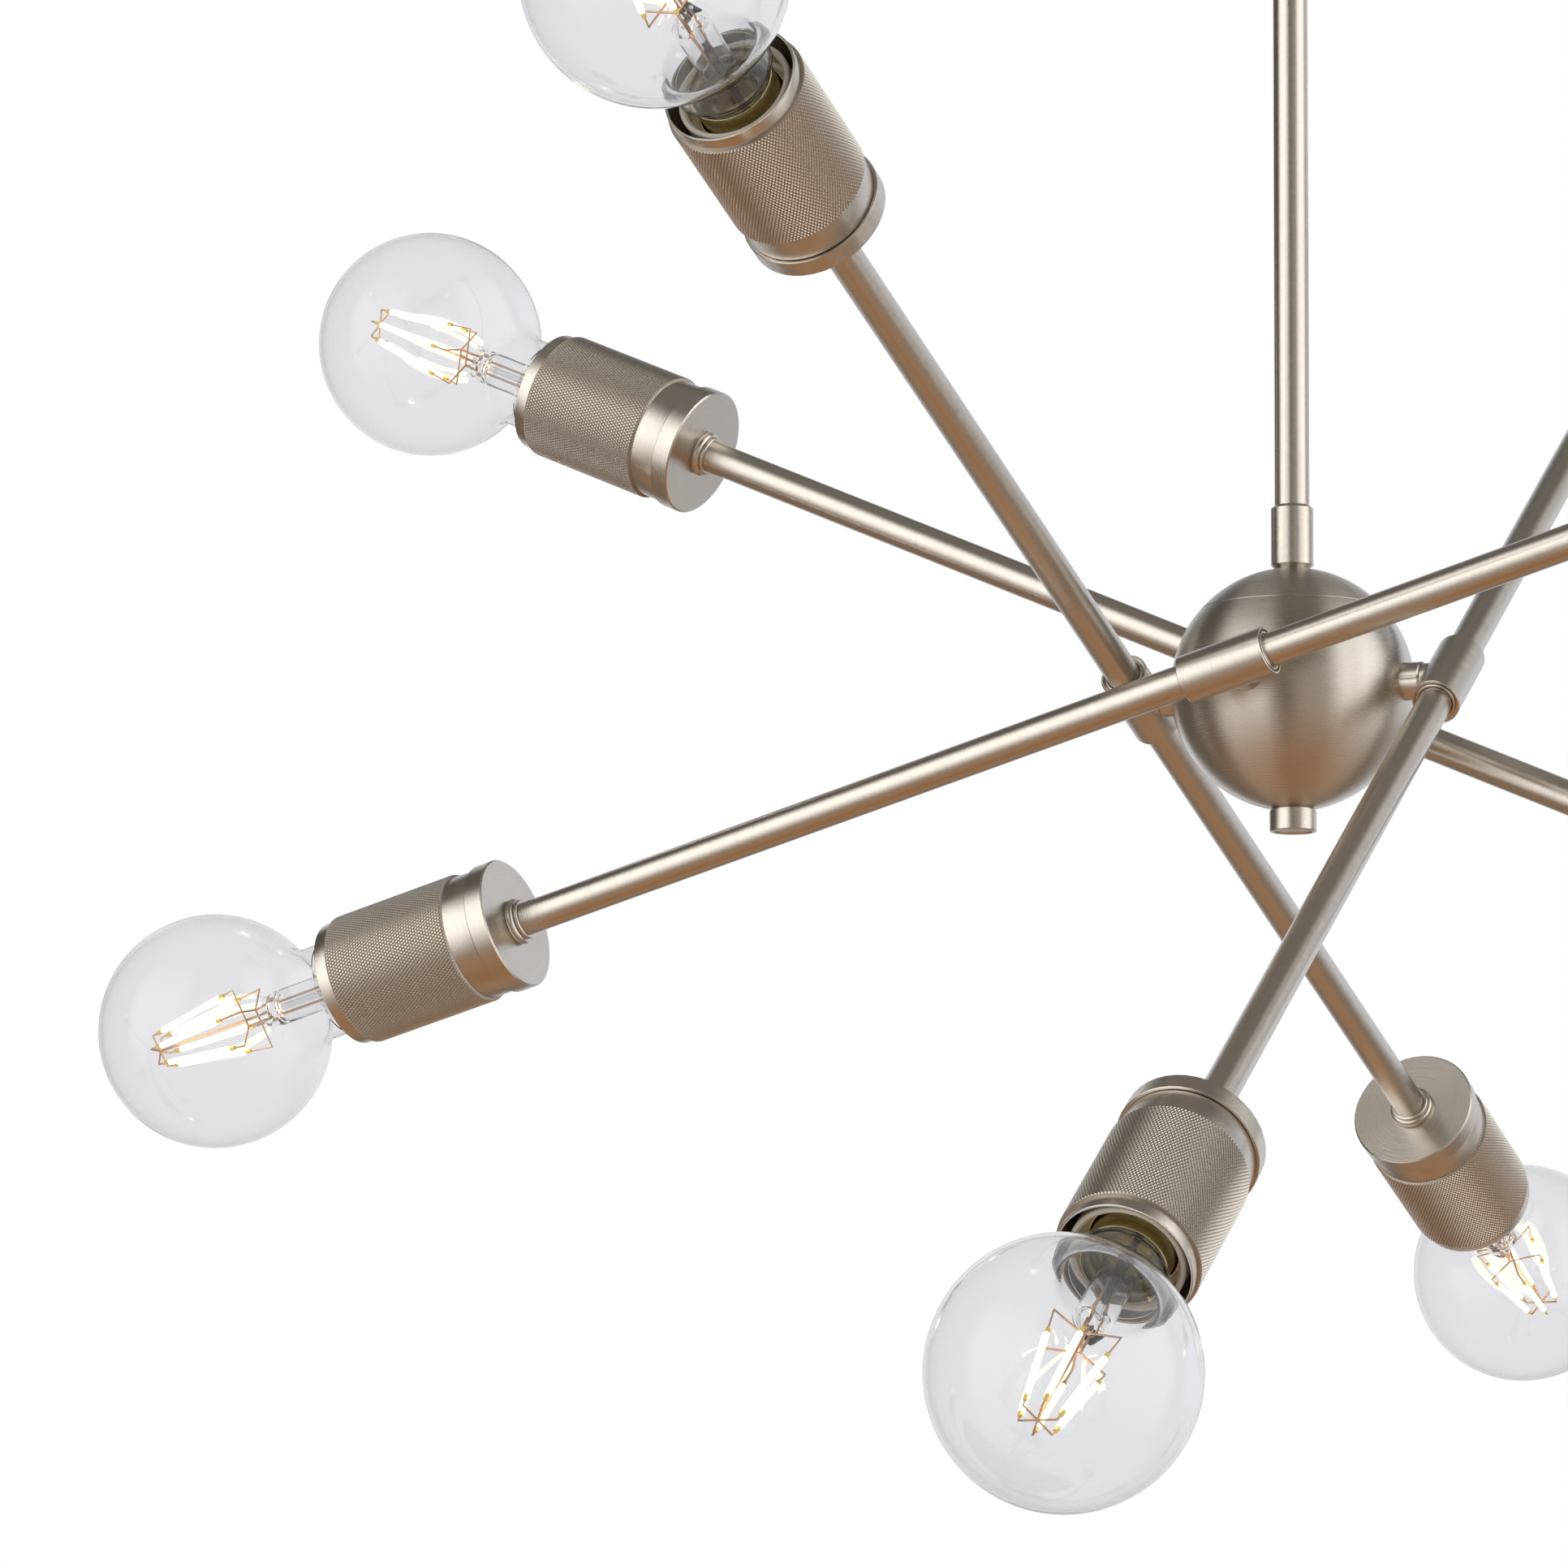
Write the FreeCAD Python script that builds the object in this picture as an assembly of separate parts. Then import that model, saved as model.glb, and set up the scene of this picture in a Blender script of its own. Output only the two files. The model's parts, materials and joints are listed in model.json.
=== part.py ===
"""Sputnik chandelier: a ball on a stem, with four double arms that tilt on friction swivels.

Each double arm is a sleeve with a pivot pin, two straight tubes and a lamp at either end, so the
fixture has eight lamps. Millimetres, +Z up, origin at the middle of the canopy's ceiling face.
The front arm turns about -Y, the right arm about +X, the back arm about +Y, the left about -X.
"""
import FreeCAD, Part
import math
import os

# ---------------------------------------------------------------- driving dimensions
ARM_TILT = {"front": 15.2, "right": 38.7, "back": 23.7, "left": 25.0}
PORT_TURN = {"front": 0.0, "right": 90.0, "back": 180.0, "left": 270.0}

GLOBE_RADIUS = 40.0            # 80 mm globe lamp
GLASS_WALL = 1.0
GLOBE_REACH = 388.8            # arm middle to globe centre
LAMP_LENGTH = 120.0            # globe top to contact tip
NECK_RADIUS = 16.0
NECK_FILLET = 10.0

SOCKET_REACH = 268.4           # arm middle to the back of the socket cap
CAP_RADIUS = 22.3
CAP_RING = 6.8
CAP_PLATE = 2.6
NECK_RING_RADIUS = 21.3
NECK_RING = 9.3
KNURL_RADIUS = 22.4
KNURL_LENGTH = 46.0
RIM_RADIUS = 21.2
RIM_LENGTH = 4.8
CUP_BORE = 20.4

TUBE_RADIUS = 5.6              # arm tube, 11.2 mm
TUBE_WALL = 0.9
TUBE_GAP = 4.0                 # arm middle to the tube's inner end
COLLAR_RADIUS = 8.0
COLLAR_HALF = 15.0
PIVOT_REACH = 54.5             # ball centre to the arm's own axis

BALL_RADIUS = 40.0
BALL_WALL = 1.2
SEAM_HEIGHT = 26.1             # joint of the ball's two shells, above its centre
STUB_RADIUS = 6.2
STUB_END = 46.1                # ball centre to the swivel face
STUB_ROOT = 33.0
SWIVEL_GAP = 0.35
BOSS_RADIUS = 5.6
PIN_RADIUS = 5.0
PIN_END = 31.3
PIN_BORE = 3.2
RUNNING = 0.04                 # radial play of the pivot pin
FIT = 0.05                     # play between pieces that are screwed together
SEAT = 0.02                    # play between the ball and what seats on it

ROD_RADIUS = 5.75              # stem rod, 11.5 mm
ROD_LENGTH = 305.0
NIPPLE_RADIUS = 4.95           # 10 mm lamp pipe
NIPPLE_BORE = 3.2
COUPLER_RADIUS = 7.0
BALL_DROP = 700.0              # ceiling to ball centre

CANOPY_RADIUS = 65.0
CANOPY_DEPTH = 24.0
SHEET = 1.2
SLOT_SPACING = 79.4            # takes box screws at 69.85 and 88.9 mm
SLOT_LENGTH = 14.0
SLOT_RADIUS = 2.2

FILAMENTS = 6
FILAMENT_RADIUS = 0.95
FILAMENT_NEAR = (10.7, 112.0)  # ring radius, and distance from the back of the socket cap
FILAMENT_FAR = (6.3, 140.5)
WIRE_RADIUS = 0.35

# ---------------------------------------------------------------- derived places along a socket
GLOBE_AT = GLOBE_REACH - SOCKET_REACH
TIP_AT = GLOBE_AT + GLOBE_RADIUS - LAMP_LENGTH
KNURL_AT = CAP_RING + NECK_RING
RIM_AT = KNURL_AT + KNURL_LENGTH
MOUTH_AT = RIM_AT + RIM_LENGTH

X_AXIS = FreeCAD.Vector(1, 0, 0)
Y_AXIS = FreeCAD.Vector(0, 1, 0)
Z_AXIS = FreeCAD.Vector(0, 0, 1)
ORIGIN = FreeCAD.Vector(0, 0, 0)


# ---------------------------------------------------------------- modelling helpers
def lathe(outline):
    """Turn a closed outline of (radius, height) about Z.

    An entry with four values is an arc through its first pair to its second pair.
    """
    def place(radius, height):
        return FreeCAD.Vector(radius, 0, height)

    here = place(*outline[0][-2:])
    edges = []
    for step in outline[1:] + outline[:1]:
        there = place(*step[-2:])
        if len(step) == 4:
            edges.append(Part.Arc(here, place(*step[:2]), there).toShape())
        elif here.distanceToPoint(there) > 1e-7:
            edges.append(Part.makeLine(here, there))
        here = there
    return Part.Face(Part.Wire(edges)).revolve(ORIGIN, Z_AXIS, 360)


def sphere_height(radius, from_axis):
    return math.sqrt(radius ** 2 - from_axis ** 2)


def ball_arc(radius, height_from, height_to):
    """Arc entry on a ball's outline, from one height to another."""
    middle = 0.5 * (math.asin(height_from / radius) + math.asin(height_to / radius))
    return (radius * math.cos(middle), radius * math.sin(middle),
            sphere_height(radius, height_to), height_to)


def pipe(outer, inner, bottom, top):
    return lathe([(inner, bottom), (outer, bottom), (outer, top), (inner, top)])


def rod_between(start, end, radius):
    run = end - start
    return Part.makeCylinder(radius, run.Length, start, run)


def hexagon(across_flats, bore, bottom, height):
    corner = across_flats / math.sqrt(3)
    points = [FreeCAD.Vector(corner * math.cos(math.radians(60 * i)),
                             corner * math.sin(math.radians(60 * i)), bottom) for i in range(7)]
    nut = Part.Face(Part.makePolygon(points)).extrude(Z_AXIS * height)
    return nut.cut(Part.makeCylinder(bore, height, FreeCAD.Vector(0, 0, bottom)))


def lowered(shape):
    """Bring a piece drawn about the ball's centre down to where the ball hangs."""
    moved = shape.copy()
    moved.translate(FreeCAD.Vector(0, 0, -BALL_DROP))
    return moved


def facing_port(shape, side):
    """Turn a piece drawn at the front port to another port, and hang it."""
    moved = shape.copy()
    moved.rotate(ORIGIN, Z_AXIS, PORT_TURN[side])
    return lowered(moved)


def arm_pair(shapes):
    """Lay pieces drawn along Z, from the back of a socket cap, at both ends of the front arm."""
    ends = []
    for shape in shapes:
        end = shape.copy()
        end.translate(FreeCAD.Vector(0, 0, SOCKET_REACH))
        end.rotate(ORIGIN, Y_AXIS, 90)
        end.translate(FreeCAD.Vector(0, -PIVOT_REACH, 0))
        other = end.copy()
        other.rotate(ORIGIN, Y_AXIS, 180)
        ends += [end, other]
    return ends


def tilted(shapes, side):
    """Tilt an arm's pieces on the swivel and turn them to their port."""
    placed = []
    for shape in shapes:
        moved = shape.copy()
        moved.rotate(ORIGIN, Y_AXIS * -1, ARM_TILT[side])
        placed.append(facing_port(moved, side))
    return placed


def write(node, shapes):
    solids = [solid for shape in shapes for solid in shape.Solids]
    body = solids[0] if len(solids) == 1 else Part.makeCompound(solids)
    if not body.isValid():
        raise ValueError(node + " is not a valid solid")
    body.exportStep("parts/" + node + ".step")
    print(node, len(solids), "solid(s)", round(body.Volume / 1000, 2), "cm3")


# ---------------------------------------------------------------- canopy and stem
def ceiling_canopy():
    """Spun dish with a rounded shoulder and a rolled rim; the ceiling closes its open side."""
    floor = -CANOPY_DEPTH
    return lathe([
        (NIPPLE_RADIUS + FIT, floor), (46.0, floor), (56.5, -20.0, 60.0, -11.0),
        (61.5, -2.4), (CANOPY_RADIUS - 0.6, -2.4), (CANOPY_RADIUS, -1.8), (CANOPY_RADIUS, 0),
        (60.4, 0), (58.8, -11.0), (55.6, -19.2, 46.0, floor + SHEET),
        (NIPPLE_RADIUS + FIT, floor + SHEET)])


def mounting_bracket():
    """Hat-shaped strap: slotted ends against the ceiling, middle dropped for the nipple's nut."""
    thick, drop, half_width = 2.0, 8.0, 9.0
    half = [(54.0, 0), (54.0, -thick), (29.0, -thick), (23.0, -drop - thick)]
    inner = [(22.0, -drop), (28.0, 0)]
    right = half + [(-x, z) for x, z in reversed(half)]
    left = [(-x, z) for x, z in reversed(inner)] + inner
    points = [FreeCAD.Vector(x, -half_width, z) for x, z in right + left + right[:1]]
    strap = Part.Face(Part.makePolygon(points)).extrude(Y_AXIS * 2 * half_width)
    strap = strap.makeFillet(3.0, [edge for edge in strap.Edges if upright_end(edge, 54.0)])
    hole = Part.makeCylinder(NIPPLE_RADIUS + FIT, 30, FreeCAD.Vector(0, 0, -20))
    return strap.cut(hole).cut(Part.makeCompound([strap_slot(-1), strap_slot(1)]))


def upright_end(edge, reach):
    """True for a strap's short upright corner edges."""
    box = edge.BoundBox
    return box.XLength < 1e-6 and box.YLength < 1e-6 and abs(abs(box.XMin) - reach) < 1e-6


def strap_slot(side):
    """Long hole for a box screw, rounded at both ends."""
    middle = side * SLOT_SPACING / 2
    run = SLOT_LENGTH / 2 - SLOT_RADIUS
    slot = Part.makeBox(2 * run, 2 * SLOT_RADIUS, 8, FreeCAD.Vector(middle - run, -SLOT_RADIUS, -5))
    for end in (-run, run):
        slot = slot.fuse(Part.makeCylinder(SLOT_RADIUS, 8, FreeCAD.Vector(middle + end, 0, -5)))
    return slot.removeSplitter()


def stem_nipple():
    return pipe(NIPPLE_RADIUS, NIPPLE_BORE, -52.0, -2.5)


def nipple_nuts():
    """One nut over the bracket and one under it."""
    return [hexagon(14.0, NIPPLE_RADIUS + FIT, -8.0, 4.0), hexagon(14.0, NIPPLE_RADIUS + FIT, -14.0, 4.0)]


def canopy_collar():
    """Turned ring on the nipple: it clamps the canopy and seats the upper rod."""
    top = -CANOPY_DEPTH
    return lathe([
        (NIPPLE_RADIUS + FIT, top), (10.5, top), (11.0, top - 0.5), (11.0, top - 3.5),
        (9.8, top - 5.0), (8.4, top - 7.5, 8.0, top - 11.0), (8.0, top - 17.0), (7.4, top - 18.0),
        (ROD_RADIUS + FIT, top - 18.0), (ROD_RADIUS + FIT, top - 12.0),
        (NIPPLE_RADIUS + FIT, top - 12.0)])


def stem_rods():
    """Two equal tubes, drawn about the ball's centre."""
    inner = NIPPLE_RADIUS + FIT
    lower = pipe(ROD_RADIUS, inner, 50.0, 50.0 + ROD_LENGTH)
    upper = pipe(ROD_RADIUS, inner, 54.0 + ROD_LENGTH, 54.0 + 2 * ROD_LENGTH)
    return [lowered(lower), lowered(upper)]


def rod_coupler():
    """Sleeve between the two rods, with an inner shoulder that both of them meet."""
    middle, half, shoulder = 52.0 + ROD_LENGTH, 12.0, 2.0
    bore, step = ROD_RADIUS + FIT, NIPPLE_RADIUS + FIT
    sleeve = lathe([
        (bore, middle - half), (6.2, middle - half), (COUPLER_RADIUS, middle - half + 1),
        (COUPLER_RADIUS, middle + half - 1), (6.2, middle + half), (bore, middle + half),
        (bore, middle + shoulder), (step, middle + shoulder),
        (step, middle - shoulder), (bore, middle - shoulder)])
    return lowered(sleeve)


# ---------------------------------------------------------------- ball
def ball_coupler():
    """Sleeve on top of the ball: cone foot, plain body, bevelled top where the rod enters."""
    bore = NIPPLE_RADIUS + FIT
    seat = BALL_RADIUS + SEAT
    sleeve = lathe([
        (5.4, sphere_height(seat, 5.4)), (COUPLER_RADIUS, 41.2), (COUPLER_RADIUS, 60.0),
        (6.0, 61.0), (ROD_RADIUS + FIT, 61.0), (ROD_RADIUS + FIT, 50.0), (bore, 50.0),
        (bore, sphere_height(seat, bore)),
        ball_arc(seat, sphere_height(seat, bore), sphere_height(seat, 5.4))])
    return lowered(sleeve)


def ball_top_shell():
    """Cap of the ball, with a skirt that locates it inside the lower shell."""
    inside = BALL_RADIUS - BALL_WALL
    hole = NIPPLE_RADIUS + FIT
    skirt_in, skirt_out, skirt_foot = 27.6, 28.55, 22.0
    bevel = 0.3
    cap = lathe([
        (skirt_out, SEAM_HEIGHT), (29.95, SEAM_HEIGHT),
        (sphere_height(BALL_RADIUS, SEAM_HEIGHT + bevel), SEAM_HEIGHT + bevel),
        ball_arc(BALL_RADIUS, SEAM_HEIGHT + bevel, sphere_height(BALL_RADIUS, hole)),
        (hole, sphere_height(inside, hole)),
        ball_arc(inside, sphere_height(inside, hole), sphere_height(inside, skirt_in)),
        (skirt_in, skirt_foot), (skirt_out, skirt_foot)])
    return lowered(cap)


def ball_bottom_shell():
    """Main shell of the ball, open at the seam, with four ports and a hole for the tie."""
    inside = BALL_RADIUS - BALL_WALL
    hole = NIPPLE_RADIUS + FIT
    bevel = 0.3
    shell = lathe([
        (sphere_height(inside, SEAM_HEIGHT), SEAM_HEIGHT), (30.2, SEAM_HEIGHT),
        (sphere_height(BALL_RADIUS, SEAM_HEIGHT - bevel), SEAM_HEIGHT - bevel),
        ball_arc(BALL_RADIUS, SEAM_HEIGHT - bevel, 0),
        ball_arc(BALL_RADIUS, 0, -sphere_height(BALL_RADIUS, hole)),
        (hole, -sphere_height(inside, hole)),
        ball_arc(inside, -sphere_height(inside, hole), 0),
        ball_arc(inside, 0, SEAM_HEIGHT)])
    for turn in PORT_TURN.values():
        port = Part.makeCylinder(STUB_RADIUS + 0.02, BALL_RADIUS, ORIGIN, Y_AXIS * -1)
        port.rotate(ORIGIN, Z_AXIS, turn)
        shell = shell.cut(port)
    return lowered(shell)


def ball_tie():
    """Lamp pipe from the coupler to the finial, clamping the shells; side holes pass the wires."""
    tie = pipe(NIPPLE_RADIUS, NIPPLE_BORE, -45.5, 59.0)
    for turn in PORT_TURN.values():
        hole = Part.makeCylinder(2.2, 10, FreeCAD.Vector(0, 0, 14.0), X_AXIS)
        hole.rotate(ORIGIN, Z_AXIS, turn + 45)
        tie = tie.cut(hole)
    return lowered(tie)


def finial():
    """Turned knob under the ball: bevelled neck, groove, plain barrel, dished end."""
    bore = NIPPLE_RADIUS + FIT
    seat = BALL_RADIUS + SEAT
    knob = lathe([
        (bore, -sphere_height(seat, bore)),
        ball_arc(seat, -sphere_height(seat, bore), -sphere_height(seat, 6.9)), (7.4, -39.7), (7.1, -39.9), (7.1, -40.2), (7.7, -40.3), (7.7, -46.8), (7.4, -47.1),
        (6.7, -47.1), (6.4, -46.7), (0, -46.7), (0, -45.5), (bore, -45.5)])
    return lowered(knob)


def pivot_stub():
    """Plain bush brazed through the ball's wall; the arm's pin turns in it."""
    bush = lathe([
        (PIN_RADIUS + RUNNING, STUB_ROOT), (STUB_RADIUS, STUB_ROOT), (STUB_RADIUS, STUB_END - 0.4),
        (STUB_RADIUS - 0.4, STUB_END), (PIN_RADIUS + RUNNING, STUB_END)])
    bush.rotate(ORIGIN, X_AXIS, 90)
    return bush


def pivot_clip():
    """Open clip that snaps into the pin's groove and bears on the bush's inner end."""
    ring = pipe(7.2, 4.3 + FIT, STUB_ROOT - 0.6, STUB_ROOT)
    mouth = Part.makeBox(8.0, 7.0, 2.0, FreeCAD.Vector(0, -3.5, STUB_ROOT - 1.0))
    clip = ring.cut(mouth)
    clip.rotate(ORIGIN, X_AXIS, 90)
    return clip


# ---------------------------------------------------------------- double arm
def arm_collar():
    """Sleeve with a bead and a groove in each mouth, and the hollow pivot pin with its boss."""
    half, bead = COLLAR_HALF, 6.7
    bore = TUBE_RADIUS + FIT
    groove = COLLAR_RADIUS - 0.7
    sleeve = lathe([
        (bore, half - 0.4), (6.18, half + 0.15, bead, half - 0.4), (bead, half - 1.2),
        (groove, half - 1.2), (groove, half), (COLLAR_RADIUS - 0.25, half),
        (COLLAR_RADIUS, half - 0.25), (COLLAR_RADIUS, 0.25 - half),
        (COLLAR_RADIUS - 0.25, -half), (groove, -half), (groove, 1.2 - half),
        (bead, 1.2 - half), (bead, 0.4 - half), (6.18, -half - 0.15, bore, 0.4 - half)])
    sleeve.rotate(ORIGIN, Y_AXIS, 90)
    sleeve.translate(FreeCAD.Vector(0, -PIVOT_REACH, 0))
    groove_in, groove_out, groove_radius = STUB_ROOT - 0.7, STUB_ROOT + 0.1, 4.3
    face = STUB_END + SWIVEL_GAP
    pin = lathe([
        (PIN_BORE, PIN_END), (PIN_RADIUS - 0.4, PIN_END), (PIN_RADIUS, PIN_END + 0.4),
        (PIN_RADIUS, groove_in), (groove_radius, groove_in), (groove_radius, groove_out),
        (PIN_RADIUS, groove_out), (PIN_RADIUS, face), (BOSS_RADIUS, face),
        (BOSS_RADIUS, PIVOT_REACH - 4.0), (PIN_BORE, PIVOT_REACH - 4.0)])
    pin.rotate(ORIGIN, X_AXIS, 90)
    joined = sleeve.fuse(pin).removeSplitter()
    tube_space = Part.makeCylinder(bore, 2 * half, FreeCAD.Vector(-half, -PIVOT_REACH, 0), X_AXIS)
    wire_way = Part.makeCylinder(PIN_BORE, PIVOT_REACH - PIN_END, FreeCAD.Vector(0, -PIN_END, 0),
                                 Y_AXIS * -1)
    return joined.cut(tube_space).cut(wire_way)


def arm_tube():
    return pipe(TUBE_RADIUS, TUBE_RADIUS - TUBE_WALL, TUBE_GAP - SOCKET_REACH, 4.0)


def cap_nuts():
    """Beaded ferrule outside the socket cap and hexagon lock nut inside it."""
    bore = TUBE_RADIUS + FIT
    ferrule = lathe([
        (bore, -4.2), (6.2, -4.2), (6.9, -3.5, 6.3, -2.8), (7.0, -2.6), (7.9, -1.3, 7.3, 0), (bore, 0)])
    return [ferrule, hexagon(14.0, bore, CAP_PLATE, 4.0)]


def end_cap():
    """Turned cap: flat back, plain ring, and a reduced skirt that enters the cup."""
    skirt = CUP_BORE - FIT
    return lathe([
        (TUBE_RADIUS + FIT, 0), (CAP_RADIUS - 0.5, 0), (CAP_RADIUS, 0.5), (CAP_RADIUS, CAP_RING - 0.2),
        (CAP_RADIUS - 0.2, CAP_RING), (skirt, CAP_RING), (skirt, CAP_RING + 5.8),
        (skirt - 1.2, CAP_RING + 5.8), (skirt - 1.2, CAP_PLATE), (TUBE_RADIUS + FIT, CAP_PLATE)])


def knurled_cup():
    """Turned cup wall: plain neck ring, raised band for the knurl, plain rim round the mouth."""
    return lathe([
        (CUP_BORE, CAP_RING), (NECK_RING_RADIUS - 0.2, CAP_RING), (NECK_RING_RADIUS, CAP_RING + 0.2),
        (NECK_RING_RADIUS, KNURL_AT), (KNURL_RADIUS - 0.3, KNURL_AT), (KNURL_RADIUS, KNURL_AT + 0.3),
        (KNURL_RADIUS, RIM_AT - 0.3), (KNURL_RADIUS - 0.3, RIM_AT), (RIM_RADIUS, RIM_AT),
        (RIM_RADIUS, MOUTH_AT - 0.3), (RIM_RADIUS - 0.3, MOUTH_AT), (CUP_BORE, MOUTH_AT)])


def lampholder():
    """Porcelain body: rounded front ring, seat for the screw shell, boss against the lock nut."""
    front = MOUTH_AT - 2.8
    return lathe([
        (PIN_BORE, 6.6), (8.0, 6.6), (8.0, 17.0), (16.5, 19.0), (18.0, 21.0), (18.0, front - 0.9),
        (17.75, front - 0.25, 17.1, front), (16.7, front), (15.9, front - 0.8), (15.9, 58.0),
        (14.3, 57.4), (14.3, 36.0), (PIN_BORE, 36.0)])


def socket_contacts():
    """Screw shell and sprung centre contact."""
    shell = pipe(14.25, 13.8, 37.0, 57.2)
    points = [(-10.0, 36.0), (-10.0, 36.5), (-4.0, 36.6), (2.6, TIP_AT), (3.4, TIP_AT - 0.4),
              (-3.8, 36.0)]
    wire = Part.makePolygon([FreeCAD.Vector(x, -3, z) for x, z in points + points[:1]])
    return [shell, Part.Face(wire).extrude(Y_AXIS * 6)]


def lamp_cap():
    """Screw cap of the lamp: contact button, insulating disc and metal shell."""
    button = lathe([(0, TIP_AT), (3.0, TIP_AT), (4.8, TIP_AT + 0.9), (4.8, TIP_AT + 1.6), (0, TIP_AT + 1.6)])
    disc = lathe([
        (0, TIP_AT + 1.6), (4.8, TIP_AT + 1.6), (9.6, TIP_AT + 3.9), (9.6, TIP_AT + 4.8),
        (0, TIP_AT + 4.8)])
    floor = TIP_AT + 4.8
    shell = lathe([
        (0, floor), (11.4, floor), (13.1, floor + 1.8), (13.1, 62.4), (13.55, 63.2), (13.55, 66.4),
        (13.25, 66.4), (13.25, 63.3), (12.8, 62.5), (12.8, floor + 2.0), (11.3, floor + 0.4),
        (0, floor + 0.4)])
    return [button, disc, shell]


def globe():
    """Glass envelope: short neck, hollow flare and ball."""
    def side(wall):
        ball = GLOBE_RADIUS - wall
        neck = NECK_RADIUS - wall
        fillet = NECK_FILLET + wall
        rise = neck + fillet
        back = math.sqrt((ball + fillet) ** 2 - rise ** 2)
        meet = ball / (ball + fillet)
        swing = 0.5 * math.asin(back / (ball + fillet))
        bend = (rise - fillet * math.cos(swing), GLOBE_AT - back + fillet * math.sin(swing))
        turn = 0.5 * (math.pi - math.asin(rise / (ball + fillet)))
        crown = (ball * math.sin(turn), GLOBE_AT + ball * math.cos(turn))
        return neck, back, bend, (rise * meet, GLOBE_AT - back * meet), crown

    neck, back, bend, meet, crown = side(0)
    inner_neck, inner_back, inner_bend, inner_meet, inner_crown = side(GLASS_WALL)
    foot, throat = 61.0, 12.7
    return lathe([
        (throat, foot), (throat, 66.5), (13.6, 68.6, neck, 71.2), (neck, GLOBE_AT - back),
        bend + meet, crown + (0, GLOBE_AT + GLOBE_RADIUS),
        (0, GLOBE_AT + GLOBE_RADIUS - GLASS_WALL), inner_crown + inner_meet,
        inner_bend + (inner_neck, GLOBE_AT - inner_back), (inner_neck, 71.8),
        (12.8, 69.6, throat - GLASS_WALL, 67.0), (throat - GLASS_WALL, foot)])


def lamp_stem():
    """Flared glass tube that ends in a flat pinch, with the thin exhaust tube inside."""
    foot, pinch, top = 60.2, 95.0, 101.0
    tube = lathe([
        (11.6, foot), (12.7, foot), (12.7, 61.0), (11.4, 61.0), (7.0, 63.2, 6.0, 68.0), (6.0, pinch),
        (5.4, 99.0, 3.4, top), (0, top), (0, pinch), (5.1, pinch), (5.1, 68.0), (6.2, 62.6, 10.6, foot + 0.2)])
    blade = Part.makeBox(14.0, 4.6, 4.0, FreeCAD.Vector(-7.0, -2.3, 97.5))
    crown = Part.makeCylinder(8.0, 4.0, FreeCAD.Vector(0, 0, 97.5)).cut(blade)
    return [tube.cut(crown), pipe(1.2, 0.8, 50.0, pinch)]


def filament_set():
    """Six straight filaments in a slight cone, two wire spiders from the pinch and a far crown."""
    near_r, near_z = FILAMENT_NEAR
    far_r, far_z = FILAMENT_FAR
    hub_at = far_z + 2.6
    filaments = []
    posts = [FreeCAD.Vector(-2.3, 0, 103.6), FreeCAD.Vector(2.3, 0, 107.6)]
    spiders = [rod_between(FreeCAD.Vector(top.x, 0, 101.0), top + Z_AXIS * 0.4, 0.4) for top in posts]
    crown = Part.makeCylinder(2.4, 3.0, FreeCAD.Vector(0, 0, hub_at - 1.5))
    crown = crown.fuse(rod_between(Z_AXIS * 101.0, Z_AXIS * hub_at, 0.5))
    for index in range(FILAMENTS):
        angle = math.radians(90 + 360 * index / FILAMENTS)
        outward = FreeCAD.Vector(math.cos(angle), math.sin(angle), 0)
        near = outward * near_r + Z_AXIS * near_z
        far = outward * far_r + Z_AXIS * far_z
        along = (far - near).normalize()
        filaments.append(rod_between(near, far, FILAMENT_RADIUS))
        side = index % 2
        elbow = near - along * ((near_z - posts[side].z) / along.z)
        arm = rod_between(posts[side], elbow, WIRE_RADIUS)
        spiders[side] = spiders[side].fuse(arm).fuse(rod_between(elbow, near, WIRE_RADIUS))
        knee = far + along * ((hub_at - far_z) / along.z)
        spoke = rod_between(Z_AXIS * hub_at, knee, WIRE_RADIUS)
        crown = crown.fuse(spoke).fuse(rod_between(far, far + along * 6.0, WIRE_RADIUS))
    return filaments + spiders + [crown]


# ---------------------------------------------------------------- build
def build_root():
    write("ceiling_canopy", [ceiling_canopy()])
    write("mounting_bracket", [mounting_bracket()])
    write("stem_nipple", [stem_nipple()])
    write("nipple_nuts", nipple_nuts())
    write("canopy_collar", [canopy_collar()])
    write("stem_rods", stem_rods())
    write("rod_coupler", [rod_coupler()])
    write("ball_coupler", [ball_coupler()])
    write("ball_top_shell", [ball_top_shell()])
    write("ball_bottom_shell", [ball_bottom_shell()])
    write("ball_tie", [ball_tie()])
    write("pivot_stubs", [facing_port(pivot_stub(), side) for side in PORT_TURN])
    write("pivot_clips", [facing_port(pivot_clip(), side) for side in PORT_TURN])
    write("finial", [finial()])


def build_arm(side):
    write(side + "_arm_collar", tilted([arm_collar()], side))
    paired = {
        "arm_tubes": [arm_tube()],
        "cap_nuts": cap_nuts(),
        "end_caps": [end_cap()],
        "knurled_cups": [knurled_cup()],
        "lampholders": [lampholder()],
        "socket_contacts": socket_contacts(),
        "lamp_caps": lamp_cap(),
        "globes": [globe()],
        "lamp_stems": lamp_stem(),
        "filaments": filament_set(),
    }
    for name, shapes in paired.items():
        write(side + "_" + name, tilted(arm_pair(shapes), side))


os.makedirs("parts", exist_ok=True)
build_root()
for arm_side in PORT_TURN:
    build_arm(arm_side)
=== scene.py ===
# %% [markdown]
# A sputnik chandelier: a ball on a rigid stem, with four double arms that tilt on swivels, and a
# knurled socket with a clear globe lamp at each of the eight arm ends. The imported model already
# holds every piece at its real size and place. This lesson loads it, takes the shapes that need a
# finer mesh and models them again, and gives every piece its metal, glass or porcelain.

# %% Load the imported model
import math

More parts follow.
